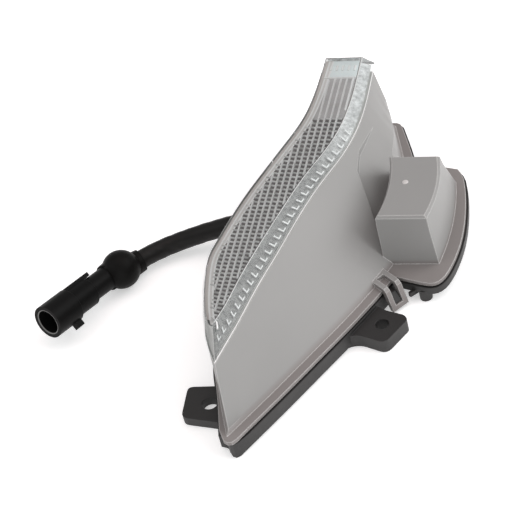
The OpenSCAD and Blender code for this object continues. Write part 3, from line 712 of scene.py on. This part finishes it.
def make_nose_wall():
    """Pale wall and sheet behind the shell at the nose, on its back side."""
    low, high = inset(LOW, NOSE_IN), inset(FACE, NOSE_IN)
    low_z, high_z = JOINT_Z + NOSE_GAP, FACE_Z - NOSE_GAP
    verts, faces = [], []
    for a in range(len(FACE_SHOWN), len(FACE)):
        if FACE[a].y < NOSE_TO:
            b = (a + 1) % len(FACE)
            faces.append(tuple(range(len(verts), len(verts) + 4)))
            for q, z in ((low[a], low_z), (low[b], low_z), (high[b], high_z), (high[a], high_z)):
                verts.append(at(q.x, q.y, z))
    add_mesh("lens_nose_wall", verts, faces, PALE)
    band("nose_sheet", NOSE_SHEET_FROM, NOSE_SHEET_TO, from_back(INSIDE), from_shown(INSIDE),
         NOSE_SHEET_Z, PALE)


def make_nose_step():
    """The moulded step of the rim beside the nose, and the far end's dark edge."""
    step = Bars()
    for a, b in zip(NOSE_STEP, NOSE_STEP[1:]):
        step.add(a, b, STEP_W, STEP_LOW, STEP_TOP)
    step.done("nose_step", WHITE)
    edge = Bars()
    edge.add((FAR_LEFT, FAR_Y), (FAR_RIGHT, FAR_Y), FAR_W, FAR_LOW, FAR_TOP)
    edge.done("far_edge", EDGE)


make_shell()
for sheet in SHEETS:
    band(*sheet)
make_ribs()
make_skirt()
make_nose_wall()
make_nose_step()


# Round gate mark on the tower's top; its pale colour is a painted highlight

PIP_AT = (85.5, 115.8, 44)
PIP_RINGS = ((1.6, 0.0), (1.5, 0.18), (1.1, 0.32), (0.5, 0.38))  # radius and height
PIP_SIDES = 24
# Pale colour of the mark: a painted highlight
PIP_HIGHLIGHT = moulded("tower_pip_highlight", (0.56, 0.54, 0.53), rough=0.3, spread=0.04, edge=0)


def make_tower_pip():
    """A low crowned disc."""
    x, y, z = PIP_AT
    verts = [at(x + r * c, y + r * s, z + h) for r, h in PIP_RINGS for c, s in circle(PIP_SIDES)]
    faces = quads(len(PIP_RINGS), PIP_SIDES)
    faces.append(tuple(range(len(verts) - PIP_SIDES, len(verts))))
    add_mesh("tower_pip_highlight", verts, faces, PIP_HIGHLIGHT, smooth=True)


make_tower_pip()


# Studio

SKY_STRENGTH = 0.46
FLOOR_HALF, FLOOR_Z = 3.0, -0.0003  # metres
FLOOR_TINT, FLOOR_SEEN, FLOOR_GLOW = 0.8, 0.9, 0.44
AIM = Vector((0.04, 0.08, 0.03))  # metres
LIGHTS = (
    # name, place in metres, power, width in metres, colour
    ("right", (1.5, 0.35, 0.95), 25, 2.0, (1, 1, 1)),
    ("front", (0.5, -1.7, 0.5), 7, 1.2, (1, 1, 1)),
    ("left", (-1.1, -0.5, 1.2), 4, 1.4, (1, 1, 1)),
    ("top", (0.1, 0.3, 1.8), 6, 1.4, (1, 0.8, 0.79)),
)


def floor_white():
    """Pale floor that camera, mirror and clear rays see as white, with the object's shadow."""
    mat, tree, out = shader("floor_white")
    link = tree.links.new
    path = tree.nodes.new("ShaderNodeLightPath").outputs
    seen = path["Is Camera Ray"]
    for kind in ("Is Glossy Ray", "Is Transmission Ray"):
        either = node(tree, "ShaderNodeMath", operation="MAXIMUM")
        link(seen, either.inputs[0])
        link(path[kind], either.inputs[1])
        seen = either.outputs[0]
    plain = node(tree, "ShaderNodeBsdfDiffuse", Color=(FLOOR_TINT, FLOOR_TINT, FLOOR_TINT, 1))
    bright = node(tree, "ShaderNodeBsdfDiffuse", Color=(FLOOR_SEEN, FLOOR_SEEN, FLOOR_SEEN, 1))
    glow = node(tree, "ShaderNodeEmission", Color=(1, 1, 1, 1), Strength=FLOOR_GLOW)
    both = tree.nodes.new("ShaderNodeAddShader")
    link(bright.outputs[0], both.inputs[0])
    link(glow.outputs[0], both.inputs[1])
    link(mix_shader(tree, seen, plain.outputs[0], both.outputs[0]), out.inputs["Surface"])
    return mat


def make_studio():
    world = bpy.data.worlds.new("studio")
    bpy.context.scene.world = world
    world.use_nodes = True
    sky = world.node_tree.nodes["Background"]
    sky.inputs["Color"].default_value = (1, 1, 1, 1)
    sky.inputs["Strength"].default_value = SKY_STRENGTH
    corners = ((-1, -1), (1, -1), (1, 1), (-1, 1))
    mesh = bpy.data.meshes.new("floor")
    mesh.from_pydata([(FLOOR_HALF * x, FLOOR_HALF * y, FLOOR_Z) for x, y in corners], [],
                     [(0, 1, 2, 3)])
    mesh.materials.append(floor_white())
    add_object("floor", mesh)
    for name, place, power, width, colour in LIGHTS:
        light = bpy.data.lights.new(name, "AREA")
        light.energy, light.size, light.color = power, width, colour
        obj = add_object(name, light)
        obj.location = place
        obj.rotation_euler = (AIM - Vector(place)).to_track_quat("-Z", "Y").to_euler()
    bpy.context.scene.view_settings.view_transform = "Standard"


make_studio()
